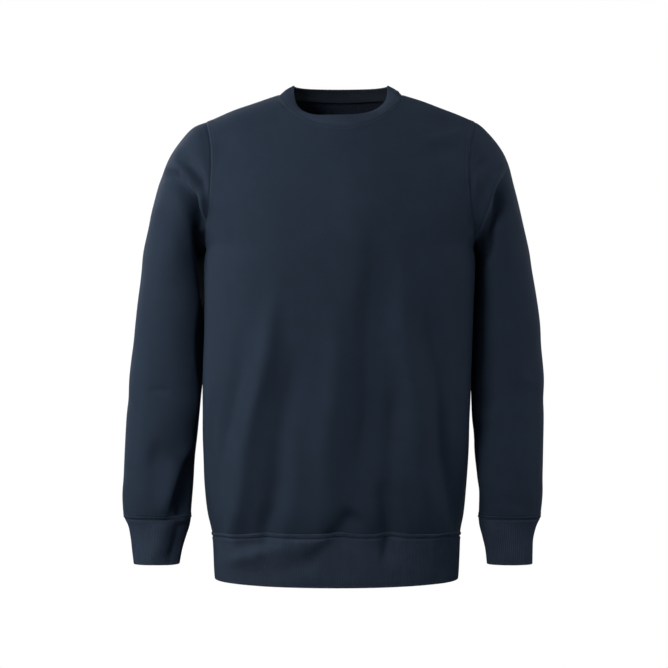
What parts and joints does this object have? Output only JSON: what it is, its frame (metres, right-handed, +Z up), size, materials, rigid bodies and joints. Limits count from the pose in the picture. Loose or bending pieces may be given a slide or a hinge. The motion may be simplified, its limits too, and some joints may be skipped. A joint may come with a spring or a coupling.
{
  "type": "crewneck sweatshirt",
  "caption": "Long-sleeved crewneck sweatshirt in brushed fleece, filled out as worn, with ribbed collar, cuffs and hem band; it covers a wearer's upper body.",
  "frame": {"origin": "in the middle of the neck opening, at the height where the wearer's shoulders carry the garment at the base of the neck", "axes": "+X to the wearer's left, -Y to the front, +Z up; the hem hangs at -Z"},
  "size_m": [0.6078, 0.2387, 0.7121],
  "materials": {
    "front_panel": "smooth navy jersey face, brushed inside",
    "back_panel": "smooth navy jersey face, brushed inside",
    "right_sleeve": "smooth navy jersey face, brushed inside",
    "left_sleeve": "smooth navy jersey face, brushed inside",
    "right_cuff": "fine navy rib, doubled",
    "left_cuff": "fine navy rib, doubled",
    "hem_band": "fine navy rib, doubled",
    "collar": "fine navy rib, doubled"
  },
  "bodies": {
    "root": {"front_panel": "front_panel", "back_panel": "back_panel", "right_sleeve": "right_sleeve", "left_sleeve": "left_sleeve", "right_cuff": "right_cuff", "left_cuff": "left_cuff", "hem_band": "hem_band", "collar": "collar"}
  },
  "joints": []
}
